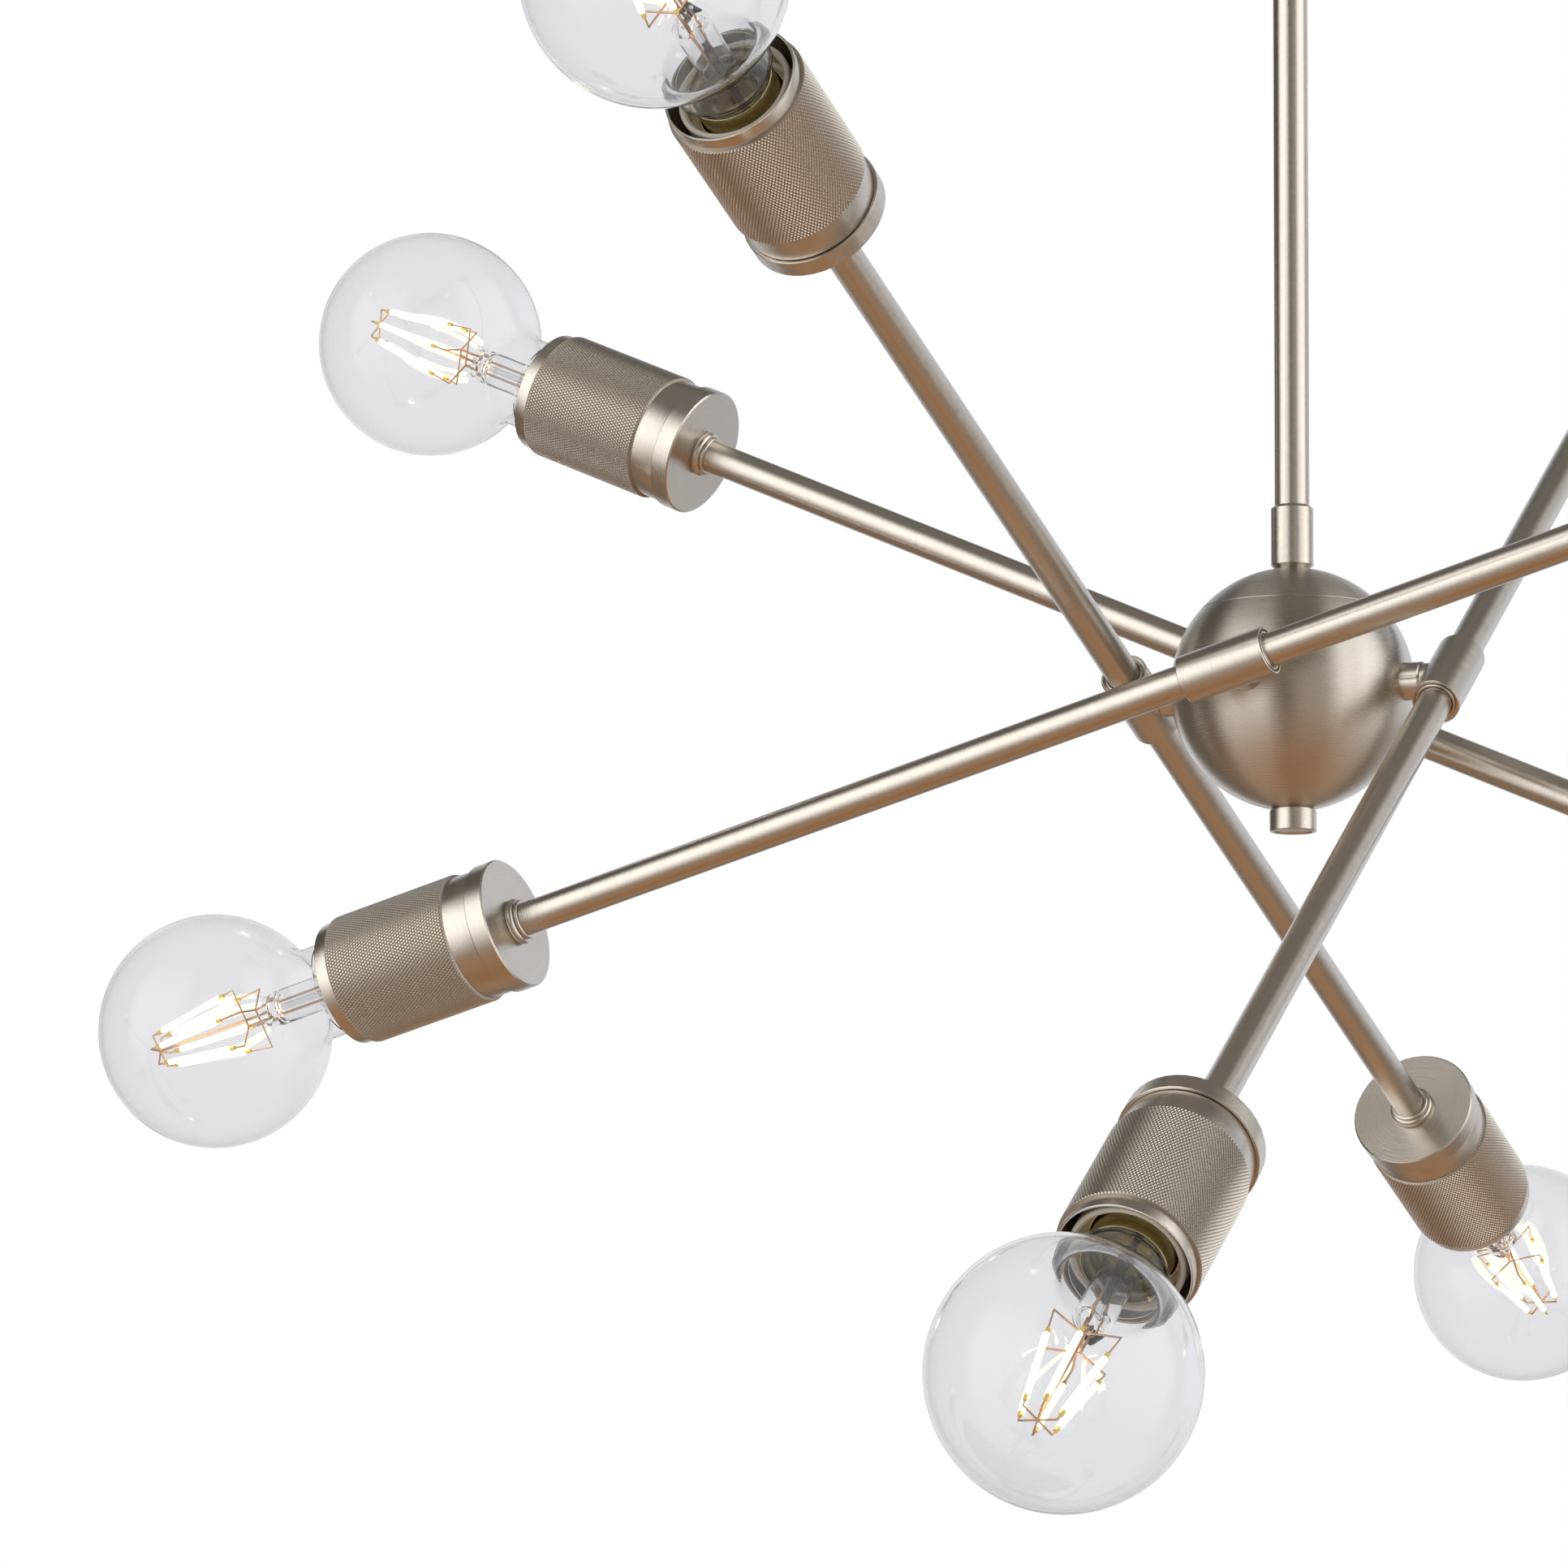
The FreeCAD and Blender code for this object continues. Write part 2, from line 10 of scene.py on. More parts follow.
import bmesh
import bpy
from mathutils import Matrix, Vector
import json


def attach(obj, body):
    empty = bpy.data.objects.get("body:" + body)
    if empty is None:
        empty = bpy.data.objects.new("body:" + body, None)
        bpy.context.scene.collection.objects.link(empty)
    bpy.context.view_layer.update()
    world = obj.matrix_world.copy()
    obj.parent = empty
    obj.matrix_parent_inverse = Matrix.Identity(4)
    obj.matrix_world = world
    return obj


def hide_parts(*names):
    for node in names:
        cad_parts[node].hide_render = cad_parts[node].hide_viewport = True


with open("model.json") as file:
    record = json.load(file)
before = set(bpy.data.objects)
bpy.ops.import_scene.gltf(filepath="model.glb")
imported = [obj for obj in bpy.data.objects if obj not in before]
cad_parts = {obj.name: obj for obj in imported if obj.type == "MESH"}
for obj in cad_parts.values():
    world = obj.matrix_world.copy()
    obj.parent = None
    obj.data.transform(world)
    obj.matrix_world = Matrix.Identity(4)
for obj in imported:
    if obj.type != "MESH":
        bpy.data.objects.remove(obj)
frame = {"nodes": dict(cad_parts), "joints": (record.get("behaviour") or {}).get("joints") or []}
bpy.ops.object.select_all(action="DESELECT")
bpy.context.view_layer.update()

# %% [markdown]
# Sizes are written in millimetres, as on a drawing, and turned into Blender's metres in one place.
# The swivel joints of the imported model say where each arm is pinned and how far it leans: every arm
# may tilt from 10 to 80 degrees, so the lower limit of its range gives the lean at rest.

# %% Where the arms are
MM = 0.001
LOWEST_TILT = 10.0
SIDES = ("front", "right", "back", "left")

swivels = {joint["child"].removesuffix("_arm"): joint for joint in frame["joints"]}
ball_centre = Vector((0, 0, swivels["front"]["pos_m"][2]))


def arm_place(side, end=1):
    """Matrix that stands a piece drawn about Z, from the arm's middle, on one end of an arm."""
    joint = swivels[side]
    outward = Vector(joint["axis"])
    tilt = math.radians(LOWEST_TILT - joint["range_deg"][0])
    level = Vector((0, 0, 1)).cross(outward)
    along = (level * math.cos(tilt) + Vector((0, 0, math.sin(tilt)))) * end
    across = outward.cross(along)
    turned_to = Matrix((across, outward, along)).transposed().to_4x4()
    return Matrix.Translation(joint["pos_m"]) @ turned_to


for side in SIDES:
    print(side, "arm leans", round(LOWEST_TILT - swivels[side]["range_deg"][0], 1), "degrees")

# %% [markdown]
# The camera stands where the photographer stood: a long lens about 2.4 m away, a little below the
# ball and looking slightly up. Its place was found by fitting a camera to the edges of the tubes,
# the ball and the globes, and is written from the ball's centre in the model's own axes.

# %% Camera
CAMERA_FROM_BALL = Vector((901.4, -2186.1, -374.6)) * MM
LENS = 167.29
HEADING, PITCH, ROLL = 26.446, 8.254, 0.376

camera_data = bpy.data.cameras.new("camera")
camera_data.lens = LENS
camera_data.sensor_width = 36.0
camera_data.clip_end = 100.0
camera = bpy.data.objects.new("camera", camera_data)
bpy.context.collection.objects.link(camera)
aim = (Matrix.Rotation(math.radians(HEADING), 4, "Z")
       @ Matrix.Rotation(math.radians(90.0 + PITCH), 4, "X")
       @ Matrix.Rotation(math.radians(ROLL), 4, "Z"))
camera.matrix_world = Matrix.Translation(ball_centre + CAMERA_FROM_BALL) @ aim
bpy.context.scene.camera = camera
bpy.context.scene.view_settings.view_transform = "Standard"
print("the camera stands", round(CAMERA_FROM_BALL.length, 3), "m from the ball")

# %% [markdown]
# Shader sums are easier to read as sums. A Value wraps the output of a node and knows the signs of
# arithmetic, so that `1 - mask * 0.5` adds the Math nodes by itself. Every other node comes from
# Finish.add, which takes the node's type, its settings and what goes into its sockets. Below it
# stand the few groups of nodes that nearly every material wants: a blend of two colours, clouds,
# and a bumped normal.

# %% A small language for materials
class Value:
    """An output socket that can be used in sums."""

    def __init__(self, finish, socket):
        self.finish = finish
        self.socket = socket

    def sum(self, operation, *terms):
        sockets = dict(enumerate(terms))
        return self.finish.add("ShaderNodeMath", {"operation": operation}, sockets)

    def __add__(self, other):
        return self.sum("ADD", self, other)

    def __rsub__(self, other):
        return self.sum("SUBTRACT", other, self)

    def __mul__(self, other):
        return self.sum("MULTIPLY", self, other)

    def __pow__(self, other):
        return self.sum("POWER", self, other)

    __radd__ = __add__
    __rmul__ = __mul__


class Finish:
    """A material, and the one method that adds nodes to it."""

    def __init__(self, name):
        self.material = bpy.data.materials.new(name)
        self.material.use_nodes = True
        self.tree = self.material.node_tree
        self.tree.nodes.clear()

    @classmethod
    def over(cls, tree):
        """The same for a node tree that isn't a material's, such as the world's."""
        finish = cls.__new__(cls)
        finish.tree = tree
        tree.nodes.clear()
        return finish

    def add(self, kind, settings=None, sockets=None, output=0):
        node = self.tree.nodes.new(kind)
        for key, setting in (settings or {}).items():
            if key == "stops":
                set_stops(node.color_ramp, setting)
            else:
                setattr(node, key, setting)
        for key, value in (sockets or {}).items():
            if isinstance(value, Value):
                self.tree.links.new(value.socket, node.inputs[key])
            else:
                node.inputs[key].default_value = value
        return Value(self, node.outputs[output]) if node.outputs else node

    def surface(self, shader):
        self.add("ShaderNodeOutputMaterial", None, {"Surface": shader})
        return self.material


def set_stops(ramp, stops):
    """Give a colour ramp its stops, as (position, colour) pairs."""
    while len(ramp.elements) < len(stops):
        ramp.elements.new(1.0)
    for element, (position, colour) in zip(ramp.elements, stops):
        element.position = position
        element.color = colour


def blend(finish, factor, low, high):
    """Colour between low and high."""
    return finish.add("ShaderNodeMix", {"data_type": "RGBA"}, {0: factor, 6: low, 7: high}, 2)


def clouded(finish, scale, detail=3.0):
    """A cloudy value from 0 to 1 in the piece's own coordinates."""
    here = finish.add("ShaderNodeTexCoord", None, None, "Object")
    return finish.add("ShaderNodeTexNoise", None,
                      {"Vector": here, "Scale": scale, "Detail": detail, "Roughness": 0.6})


def raised(finish, height, lift):
    """Normal of a surface that the height lifts by up to so many millimetres."""
    return finish.add("ShaderNodeBump", None,
                      {"Strength": 1.0, "Distance": lift * MM, "Height": height})

# %% [markdown]
# Satin metal has hardly a colour of its own: what stands around it gives it its bands. So the world
# is a small studio. Its walls fade from a warm wooden floor to a dim ceiling, and soft upright
# panels stand round it. Each is given by its azimuth from the camera, its half width and its soft
# edge in degrees, the heights between which its foot and its head fade, and its colour. A height
# is the sine of the angle above the level. The camera, and what is seen through glass, meet plain
# white.

# %% World
WALL_STOPS = [(0.00, (0.34, 0.185, 0.09, 1.0)), (0.05, (0.42, 0.245, 0.14, 1.0)),
              (0.12, (0.36, 0.235, 0.15, 1.0)), (0.22, (0.21, 0.155, 0.115, 1.0)),
              (0.38, (0.15, 0.125, 0.105, 1.0)), (0.55, (0.12, 0.107, 0.095, 1.0)),
              (0.86, (0.10, 0.092, 0.083, 1.0)), (0.97, (0.20, 0.185, 0.17, 1.0))]
PANELS = {
    "left softbox": (-52, 29, 10, (-0.85, 0.12), (0.42, 0.93), (1.46, 1.45, 1.43)),
    "right softbox": (72, 29, 10, (-0.85, 0.05), (0.55, 0.93), (1.38, 1.37, 1.35)),
    "front fill": (20, 18, 8, (-0.85, -0.20), (0.10, 0.50), (0.34, 0.31, 0.28)),
    "white sweep behind": (163, 46, 9, (-0.55, 0.00), (0.35, 0.80), (0.62, 0.65, 0.71)),
}


def rise(finish, value, start, end):
    """0 up to start, 1 from end on, and a smooth step between them."""
    return finish.add("ShaderNodeMapRange", {"interpolation_type": "SMOOTHSTEP"},
                      {"Value": value, "From Min": start, "From Max": end})


def studio_panel(finish, direction, height, panel):
    """Light of one upright panel of the studio, seen in a direction."""
    azimuth, half_width, soft, foot, head, colour = panel
    turn = math.atan2(CAMERA_FROM_BALL.y, CAMERA_FROM_BALL.x) + math.radians(azimuth)
    flat = finish.add("ShaderNodeVectorMath", {"operation": "MULTIPLY"},
                      {0: direction, 1: (1.0, 1.0, 0.0)}, "Vector")
    level = finish.add("ShaderNodeVectorMath", {"operation": "NORMALIZE"}, {0: flat}, "Vector")
    facing = finish.add("ShaderNodeVectorMath", {"operation": "DOT_PRODUCT"},
                        {0: level, 1: (math.cos(turn), math.sin(turn), 0.0)}, "Value")
    across = rise(finish, facing, math.cos(math.radians(half_width + soft)),
                  math.cos(math.radians(half_width - soft)))
    upright = rise(finish, height, *foot) * (1.0 - rise(finish, height, *head))
    return finish.add("ShaderNodeVectorMath", {"operation": "SCALE"},
                      {0: colour, "Scale": across * upright}, "Vector")


def studio_world():
    """White to the camera and through glass; the studio's walls and panels to everything else."""
    world = bpy.data.worlds.new("studio")
    world.use_nodes = True
    finish = Finish.over(world.node_tree)
    direction = finish.add("ShaderNodeTexCoord", None, None, "Generated")
    height = finish.add("ShaderNodeSeparateXYZ", None, {0: direction}, "Z")
    room = finish.add("ShaderNodeValToRGB", {"stops": WALL_STOPS}, {0: height * 0.5 + 0.5})
    for panel in PANELS.values():
        light = studio_panel(finish, direction, height, panel)
        room = finish.add("ShaderNodeVectorMath", {"operation": "ADD"},
                          {0: room, 1: light}, "Vector")
    rays = [finish.add("ShaderNodeLightPath", None, None, output)
            for output in ("Is Camera Ray", "Is Transmission Ray")]
    bare = rays[0].sum("MAXIMUM", *rays)
    colour = finish.add("ShaderNodeMix", {"data_type": "RGBA"},
                        {0: bare, 6: room, 7: (1.0, 1.0, 1.0, 1.0)}, 2)
    light = finish.add("ShaderNodeBackground", None, {"Color": colour, "Strength": 1.0})
    finish.add("ShaderNodeOutputWorld", None, {"Surface": light})
    bpy.context.scene.world = world


studio_world()

# %% [markdown]
# The frame is nickel-plated steel, brushed and lacquered to a satin. The brush leaves streaks far
# longer than they are wide: round the axis on turned pieces. Each streak pattern is a noise that is
# squeezed hard across the brush and stretched along it, in coordinates that are first turned to
# the piece's own axis. It varies the colour and the roughness a little, and lifts the surface by a
# hair, so that reflections smear across the brush as they do on the real metal.

# %% Satin nickel
NICKEL_DARK, NICKEL_LIGHT = (0.62, 0.575, 0.51, 1.0), (0.78, 0.735, 0.67, 1.0)
ACROSS_BRUSH, ALONG_BRUSH, FINE_GRAIN = 6500.0, 60.0, 5200.0


def local_axes(finish, place):
    """Object coordinates turned to stand along the local Z axis of a piece at place."""
    here = finish.add("ShaderNodeTexCoord", None, None, "Object")
    return finish.add("ShaderNodeMapping", {"vector_type": "TEXTURE"}, {
        "Vector": here, "Location": place.translation, "Rotation": place.to_euler()})


def from_axis(finish, local):
    """A point's distance from the local Z axis, its place along it, and a slow sideways value."""
    x, y, z = [finish.add("ShaderNodeSeparateXYZ", None, {0: local}, axis) for axis in "XYZ"]
    return (x * x + y * y) ** 0.5, z, x + y


def brushed(finish, local, grain):
    """Streaks from 0 to 1, brushed round the local Z axis, or without a direction."""
    if grain == "fine":
        return finish.add("ShaderNodeTexNoise", None,
                          {"Vector": local, "Scale": FINE_GRAIN, "Detail": 3.0, "Roughness": 0.6})
    radius, z, sideways = from_axis(finish, local)
    squeezed = finish.add("ShaderNodeCombineXYZ", None, {
        "X": radius * ACROSS_BRUSH, "Y": z * ACROSS_BRUSH, "Z": sideways * ALONG_BRUSH})
    return finish.add("ShaderNodeTexNoise", None,
                      {"Vector": squeezed, "Scale": 1.0, "Detail": 3.0, "Roughness": 0.65})


def satin_nickel(name, place=Matrix.Identity(4), grain="round", smear=0.0, lift=0.045,
                 rough=0.15):
    """Nickel brushed round the local Z axis of a piece that stands at place."""
    finish = Finish(name)
    local = local_axes(finish, place)
    streaks = brushed(finish, local, grain)
    clouds = finish.add("ShaderNodeTexNoise", None,
                        {"Vector": local, "Scale": 45.0, "Detail": 2.0, "Roughness": 0.5})
    metal = finish.add("ShaderNodeBsdfPrincipled", None, {
        "Base Color": blend(finish, streaks * 0.7 + clouds * 0.3, NICKEL_DARK, NICKEL_LIGHT),
        "Metallic": 1.0, "Roughness": streaks * 0.12 + rough, "Anisotropic": smear,
        "Anisotropic Rotation": 0.25, "Normal": raised(finish, streaks, lift)})
    return finish.surface(metal)


# %% [markdown]
# The other metals are bare sheet and wire: bright zinc in the canopy and the ball, brass in the
# sockets and on the lamp caps, gilt tabs and copper-coated wire in the lamps. Clouds vary each one
# between two tones and roughen it in patches, as handling and heat do.

# %% Sheet and wire
def bare_metal(name, dark, light, smoothest, roughest, scale):
    """Metal that varies between two tones, duller where it is darker."""
    finish = Finish(name)
    clouds = clouded(finish, scale)
    metal = finish.add("ShaderNodeBsdfPrincipled", None, {
        "Base Color": blend(finish, clouds, dark, light), "Metallic": 1.0,
        "Roughness": clouds * (smoothest - roughest) + roughest,
        "Normal": raised(finish, clouded(finish, scale * 10), 0.02)})
    return finish.surface(metal)


# each has a dark and a light tone, its least and most roughness, and its clouds per metre
BARE_METALS = {
    "zinc_steel": ((0.42, 0.44, 0.46, 1.0), (0.68, 0.69, 0.70, 1.0), 0.22, 0.45, 300.0),
    "contact_brass": ((0.52, 0.37, 0.13, 1.0), (0.84, 0.66, 0.32, 1.0), 0.18, 0.38, 350.0),
    "lamp_cap_brass": ((0.50, 0.41, 0.17, 1.0), (0.80, 0.69, 0.38, 1.0), 0.20, 0.40, 350.0),
    "gilt_tabs": ((0.70, 0.50, 0.13, 1.0), (0.95, 0.76, 0.28, 1.0), 0.25, 0.40, 900.0),
    "copper_wire": ((0.45, 0.27, 0.15, 1.0), (0.72, 0.48, 0.31, 1.0), 0.20, 0.40, 900.0)}
zinc, brass, cap_brass, gilt, copper = [
    bare_metal(name, *look) for name, look in BARE_METALS.items()]

# %% [markdown]
# The lampholders are cream porcelain under a clear glaze that pools a little, the globes and stems
# are clear glass with the faint waves of blown and drawn glass, and the filaments are coated with a
# phosphor that glows warm white, a little unevenly.

# %% Porcelain, glass and glow
def glazed_porcelain(name):
    finish = Finish(name)
    tone = blend(finish, clouded(finish, 90.0), (0.79, 0.74, 0.64, 1.0), (0.88, 0.85, 0.78, 1.0))
    glaze = finish.add("ShaderNodeBsdfPrincipled", None, {
        "Base Color": tone, "Roughness": clouded(finish, 1500.0) * 0.2 + 0.15, "Coat Weight": 0.6,
        "Coat Roughness": 0.08, "Normal": raised(finish, clouded(finish, 220.0), 0.04)})
    return finish.surface(glaze)


def clear_glass(name, tint, bending, waves, lift):
    finish = Finish(name)
    body = finish.add("ShaderNodeBsdfPrincipled", None, {
        "Base Color": tint, "Transmission Weight": 1.0, "IOR": bending,
        "Roughness": clouded(finish, waves * 3) * 0.01,
        "Normal": raised(finish, clouded(finish, waves, 1.0), lift)})
    return finish.surface(body)


def glowing(name, strength):
    finish = Finish(name)
    coat = clouded(finish, 900.0)
    light = finish.add("ShaderNodeBsdfPrincipled", None, {
        "Base Color": blend(finish, coat, (0.95, 0.72, 0.36, 1.0), (1.0, 0.84, 0.5, 1.0)),
        "Emission Color": blend(finish, coat, (1.0, 0.72, 0.36, 1.0), (1.0, 0.84, 0.5, 1.0)),
        "Emission Strength": strength})
    return finish.surface(light)


porcelain = glazed_porcelain("porcelain")
glass = clear_glass("globe_glass", (0.885, 0.885, 0.90, 1.0), 1.47, 25.0, 0.1)
stem_glass = clear_glass("stem_glass", (0.95, 0.95, 0.95, 1.0), 1.5, 120.0, 0.04)
glow = glowing("glowing_coat", 7.0)

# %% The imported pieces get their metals
ball_nickel = satin_nickel("ball_nickel", Matrix.Translation(ball_centre), smear=1.0, lift=0.03,
                           rough=0.22)
stem_nickel = satin_nickel("stem_nickel", Matrix.Translation(ball_centre), smear=0.6)
fine_nickel = satin_nickel("fine_nickel", grain="fine", lift=0.012)
arm_nickel = {side: satin_nickel(f"{side}_arm_nickel", arm_place(side)) for side in SIDES}
ROOT_FINISHES = {
    "ball_top_shell": ball_nickel, "ball_bottom_shell": ball_nickel, "mounting_bracket": zinc,
    "stem_nipple": zinc, "nipple_nuts": zinc, "ball_tie": zinc, "pivot_clips": zinc,
    "pivot_stubs": fine_nickel}
ARM_FINISHES = {"lampholders": porcelain, "socket_contacts": brass, "lamp_caps": cap_brass,
                "globes": glass, "lamp_stems": stem_glass, "filaments": glow}
for name, node in frame["nodes"].items():
    side, _, piece = name.partition("_")
    node.data.materials.clear()
    if side in SIDES:
        node.data.materials.append(ARM_FINISHES.get(piece, arm_nickel[side]))
    else:
        node.data.materials.append(ROOT_FINISHES.get(name, stem_nickel))

# %% [markdown]
# Most pieces of a socket and a lamp are turned or blown about one axis, so they are modelled as on a
# lathe: one circle is drawn on from ring to ring, each ring a radius and a height above the back of
# the socket cap. A third number flattens a ring, where glass was pinched while it was soft.

# %% Turning and placing pieces
SOCKET_REACH = 268.4
SMOOTH_UP_TO = math.radians(28)


def arc(centre, radius, start, end, steps):
    """Rings along a round stretch of an outline, between two angles in degrees."""
    turns = [math.radians(start + (end - start) * step / steps) for step in range(steps + 1)]
    return [(centre[0] + radius * math.cos(turn), centre[1] + radius * math.sin(turn))
            for turn in turns]


def turned(name, rings, around=64, capped=False):
    """Draw a circle on from ring to ring; a ring of no radius closes in a pole."""
    radius, height, flat = (*rings[0], 1.0)[:3]
    bpy.ops.object.select_all(action="DESELECT")
    bpy.ops.mesh.primitive_circle_add(
        vertices=around, radius=radius * MM, location=(0, 0, height * MM),
        fill_type="TRIFAN" if capped else "NOTHING")
    piece = bpy.context.object
    piece.name = name
    bpy.ops.object.transform_apply(location=True)
    bpy.ops.object.mode_set(mode="EDIT")
    bpy.ops.mesh.select_mode(type="EDGE")
    bpy.ops.mesh.select_all(action="SELECT")
    if capped:
        bpy.ops.mesh.region_to_loop()
    for ring in rings[1:]:
        next_radius, next_height, next_flat = (*ring, 1.0)[:3]
        rise_by = (0, 0, (next_height - height) * MM)
        bpy.ops.mesh.extrude_region_move(TRANSFORM_OT_translate={"value": rise_by})
        if next_radius == 0:
            bpy.ops.mesh.merge(type="CENTER")
            break
        wider = next_radius / radius
        bpy.ops.transform.resize(value=(wider, wider * next_flat / flat, 1),
                                 center_override=(0, 0, next_height * MM))
        radius, height, flat = next_radius, next_height, next_flat
    bpy.ops.mesh.select_all(action="SELECT")
    bpy.ops.mesh.remove_doubles(threshold=0.001 * MM)
    bpy.ops.mesh.normals_make_consistent(inside=False)
    bpy.ops.object.mode_set(mode="OBJECT")
    bpy.ops.object.shade_smooth_by_angle(angle=SMOOTH_UP_TO)
    return piece


def fit_to_arms(pattern, node, finishes):
    """Copy a piece to both ends of each arm; a pair is one object that rides on its arm."""
    for side in SIDES:
        pair = []
        for end in (1, -1):
            copy = pattern.copy()
            copy.data = pattern.data.copy()
            out_to_socket = Matrix.Translation((0, 0, SOCKET_REACH * MM))
            copy.data.transform(arm_place(side, end) @ out_to_socket)
            bpy.context.collection.objects.link(copy)
            pair.append(copy)
        bpy.ops.object.select_all(action="DESELECT")
        for copy in pair:
            copy.select_set(True)
        bpy.context.view_layer.objects.active = pair[0]
        bpy.ops.object.join()
        both = pair[0]
        both.name = f"{side}_{pattern.name}"
        both.data.materials.clear()
        both.data.materials.append(finishes[side] if isinstance(finishes, dict) else finishes)
        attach(both, f"{side}_arm")
        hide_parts(f"{side}_{node}")
    print(pattern.name, "has", len(pattern.data.polygons), "faces")
    bpy.data.objects.remove(pattern)


def pick(piece, kind, wanted):
    """In edit mode, select only the faces or edges that are wanted."""
    bpy.ops.mesh.select_mode(type=kind)
    bpy.ops.mesh.select_all(action="DESELECT")
    mesh = bmesh.from_edit_mesh(piece.data)
    for item in mesh.faces if kind == "FACE" else mesh.edges:
        if wanted(item):
            item.select_set(True)
    bmesh.update_edit_mesh(piece.data)


# %% [markdown]
# The cup is a turned tube whose middle band is knurled: two wheels roll crossing grooves into it,
# 30 degrees either way from the axis, and leave small diamonds with flat tops. A bump texture would
# look right only from afar, so the diamonds are real. The band starts as a grid of oblongs, one
# diamond wide and high. Poking each oblong and dissolving the grid's own edges leaves a net of
# diamonds, and each diamond is then inset and raised.

# %% Knurled cups
KNURL_FROM, KNURL_TO = 16.1, 62.1
KNURL_FLOOR = 22.04
DIAMOND_HIGH = 2.0
DIAMONDS_AROUND = 122
GROOVE_HALF, GROOVE_DEPTH = 0.28, 0.32
CUP_BORE, CUP_FOOT, CUP_MOUTH = 20.4, 7.15, 66.9
NECK_RING, RIM = 21.3, 21.2
NECK_EDGE, RIM_EDGE = 0.25, 0.3
# painted shade: the darker colour given to the knurl's grooves
GROOVE_PAINTED_SHADE = (0.50, 0.45, 0.39, 1.0)


def knurled_nickel(name, place):
    """Nickel with shade painted darker in the grooves between the diamonds, which are also rougher.
    """
    finish = Finish(name)
    local = local_axes(finish, place)
    radius, z, _ = from_axis(finish, local)
    from_middle = z.sum("ABSOLUTE", z)
    start, stop = [(SOCKET_REACH + height) * MM for height in (KNURL_FROM, KNURL_TO)]
    soft = 0.2 * MM
    band = rise(finish, from_middle, start - soft, start) * (
        1.0 - rise(finish, from_middle, stop, stop + soft))
    tip = rise(finish, radius, KNURL_FLOOR * MM, (KNURL_FLOOR + GROOVE_DEPTH) * MM)
    groove = band * (1.0 - tip)
    streaks = brushed(finish, local, "round")
    skin = blend(finish, streaks, NICKEL_DARK, NICKEL_LIGHT)
    # painted shade: the grooves between the diamonds are coloured darker, and they are made rougher
    # too
    metal = finish.add("ShaderNodeBsdfPrincipled", None, {
        "Base Color": blend(finish, groove * 0.75, skin, GROOVE_PAINTED_SHADE), "Metallic": 1.0,
        "Roughness": streaks * 0.1 + groove * 0.2 + 0.17, "Normal": raised(finish, streaks, 0.03)})
    return finish.surface(metal)


knurl_finishes = {side: knurled_nickel(f"{side}_knurled_nickel", arm_place(side))
                  for side in SIDES}
rows = round((KNURL_TO - KNURL_FROM) / DIAMOND_HIGH)
band = [(KNURL_FLOOR, KNURL_FROM + row * DIAMOND_HIGH) for row in range(rows + 1)]
cups = turned("cups", [
    (CUP_BORE, CUP_FOOT),
    *arc((NECK_RING - NECK_EDGE, CUP_FOOT + NECK_EDGE), NECK_EDGE, -90, 0, 3),
    (NECK_RING, KNURL_FROM), *band, (RIM, KNURL_TO),
    *arc((RIM - RIM_EDGE, CUP_MOUTH - RIM_EDGE), RIM_EDGE, 0, 90, 3),
    *arc((CUP_BORE + RIM_EDGE, CUP_MOUTH - RIM_EDGE), RIM_EDGE, 90, 180, 3),
    (CUP_BORE, CUP_FOOT)], around=DIAMONDS_AROUND)


def on_band(item):
    """Is the middle of this face or edge on the band that gets the knurl?"""
    middle = sum((corner.co for corner in item.verts), Vector()) / len(item.verts)
    outside = math.hypot(middle.x, middle.y) > (KNURL_FLOOR - GROOVE_HALF / 2) * MM
    return outside and KNURL_FROM * MM < middle.z < KNURL_TO * MM


corners = len(cups.data.vertices)
bpy.ops.object.mode_set(mode="EDIT")
pick(cups, "FACE", on_band)
bpy.ops.mesh.poke()
pick(cups, "EDGE", lambda edge: on_band(edge) and all(v.index < corners for v in edge.verts))
bpy.ops.mesh.dissolve_edges(use_verts=False)
pick(cups, "FACE", on_band)
bpy.ops.mesh.inset(thickness=GROOVE_HALF * MM, depth=GROOVE_DEPTH * MM, use_individual=True)
bpy.ops.object.mode_set(mode="OBJECT")
bpy.ops.object.shade_smooth_by_angle(angle=SMOOTH_UP_TO)
fit_to_arms(cups, "knurled_cups", knurl_finishes)

# %% [markdown]
# The globe is blown glass: a ball that runs through a small fillet into its neck, and a throat that
# the screw cap grips. Only its outer skin is drawn. Solidify then gives the wall its thickness, so
# that light bends at both faces of the glass, as it does in a real lamp.

# %% Globes
GLOBE_AT, GLOBE_RADIUS = 120.4, 39.95
NECK_RADIUS, NECK_FILLET = 16.0, 10.0
GLASS_WALL = 1.0

fillet_out = NECK_RADIUS + NECK_FILLET
fillet_back = math.sqrt((GLOBE_RADIUS + NECK_FILLET) ** 2 - fillet_out ** 2)
meeting = math.degrees(math.asin(fillet_back / (GLOBE_RADIUS + NECK_FILLET)))
globes = turned("clear_globes", [
    (12.7, 61.0), (12.7, 66.5), (12.95, 67.5), (13.6, 68.6), (14.6, 69.75), (16.0, 71.2),
    *arc((fillet_out, GLOBE_AT - fillet_back), NECK_FILLET, 180, 180 - meeting, 10),
    *arc((0, GLOBE_AT), GLOBE_RADIUS, -meeting, 90, 44)[1:-1], (0, GLOBE_AT + GLOBE_RADIUS)],
    around=128)
wall = globes.modifiers.new("wall", "SOLIDIFY")
wall.thickness = GLASS_WALL * MM
wall.offset = -1.0
bpy.ops.object.modifier_apply(modifier="wall")
fit_to_arms(globes, "globes", glass)

